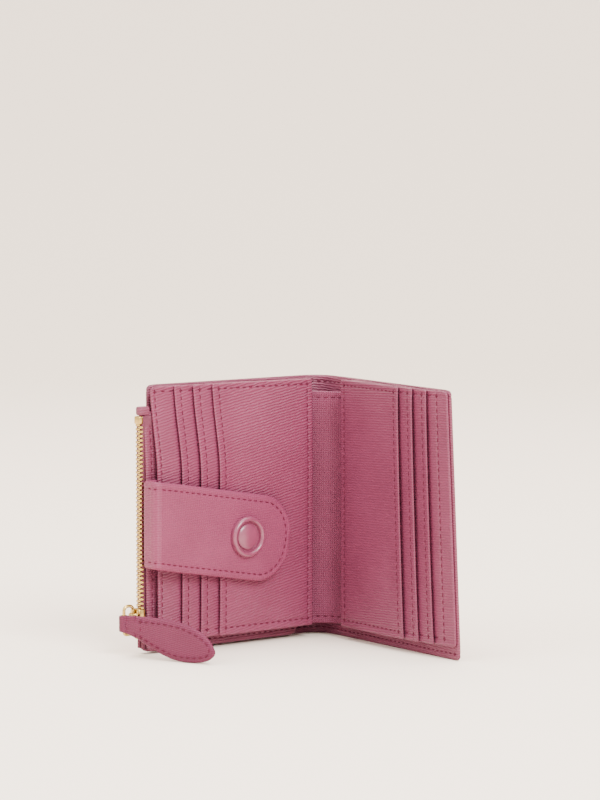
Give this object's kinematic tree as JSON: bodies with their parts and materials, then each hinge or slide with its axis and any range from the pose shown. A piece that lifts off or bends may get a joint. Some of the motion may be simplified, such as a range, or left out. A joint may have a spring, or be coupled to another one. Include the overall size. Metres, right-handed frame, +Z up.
{
  "type": "bifold wallet",
  "caption": "Compact book-style bifold wallet with stepped card pockets on both leaves, a zipped coin pocket with ring and leather pull, and a folding snap strap.",
  "frame": {"origin": "centre of the box of the whole wallet, standing open, on the surface that it stands on", "axes": "+Z up along the fold line, +Y away from the viewer of the open inside, +X to that viewer's right"},
  "size_m": [0.1236, 0.0844, 0.1],
  "materials": {
    "leather": "cross-grained, satin",
    "lining": "fine cross-grained, satin",
    "tape": "woven tape",
    "brass": "polished, light gold",
    "enamel": "tonal enamel, satin"
  },
  "bodies": {
    "left_leaf": {"outer_cover_left": "leather", "card_panel_left": "leather", "card_pocket_left_1": "leather", "card_pocket_left_2": "leather", "card_pocket_left_3": "leather", "spine_panel": "leather", "spine_lining": "lining", "coin_pocket_front": "leather", "coin_pocket_back": "leather", "coin_gusset_lower": "lining", "coin_gusset_upper": "lining", "zip_tape_front": "tape", "zip_tape_back": "tape", "zip_teeth_front": "brass", "zip_teeth_back": "brass", "zip_top_stop": "brass", "zip_bottom_stop": "brass", "zip_end_tab": "leather", "strap_root": "leather"},
    "right_leaf": {"outer_cover_right": "leather", "card_panel_right": "leather", "card_pocket_right_1": "leather", "card_pocket_right_2": "leather", "card_pocket_right_3": "leather", "snap_stud": "brass", "stud_backing": "brass"},
    "strap_turn": {"strap_turn": "leather"},
    "strap_wrap": {"strap_wrap": "leather"},
    "strap_tongue": {"strap_tongue": "leather", "snap_socket": "brass", "strap_button": "enamel"},
    "zip_slider": {"zip_slider": "brass"},
    "pull_ring": {"pull_ring": "brass"},
    "pull_tab": {"pull_tab": "leather"}
  },
  "joints": [
    {"name": "cover_fold", "type": "hinge", "parent": "left_leaf", "child": "right_leaf", "pos_m": [0.01498, 0.0266, 0], "axis": [0, 0, -1], "range_deg": [-98, 82], "deforming": ["spine_panel", "spine_lining"]},
    {"name": "strap_swing", "type": "hinge", "parent": "left_leaf", "child": "strap_turn", "pos_m": [-0.05174, -0.01766, 0.049], "axis": [0, 0, 1], "range_deg": [-90, 0]},
    {"name": "strap_bend", "type": "hinge", "parent": "strap_turn", "child": "strap_wrap", "pos_m": [-0.0477, -0.02313, 0.049], "axis": [-0.1283, -0.1039, -0.9863], "range_deg": [0, 90]},
    {"name": "strap_tip", "type": "hinge", "parent": "strap_wrap", "child": "strap_tongue", "pos_m": [-0.03773, -0.01506, 0.04685], "axis": [-0.1283, -0.1039, -0.9863], "range_deg": [-90, 0]},
    {"name": "zip_slide", "type": "slide", "parent": "left_leaf", "child": "zip_slider", "axis": [0, 0, 1], "range_m": [0, 0.067]},
    {"name": "puller_swing", "type": "hinge", "parent": "zip_slider", "child": "pull_ring", "pos_m": [-0.05667, -0.0165, 0.011], "axis": [0, 0, -1], "range_deg": [-10, 60]},
    {"name": "tab_swing", "type": "hinge", "parent": "pull_ring", "child": "pull_tab", "pos_m": [-0.05994, -0.01914, 0.011], "axis": [0, 0, -1], "range_deg": [-20, 110]}
  ],
  "couplings": [
    {"joint": "strap_tip", "follows": "strap_bend", "ratio": -1}
  ]
}
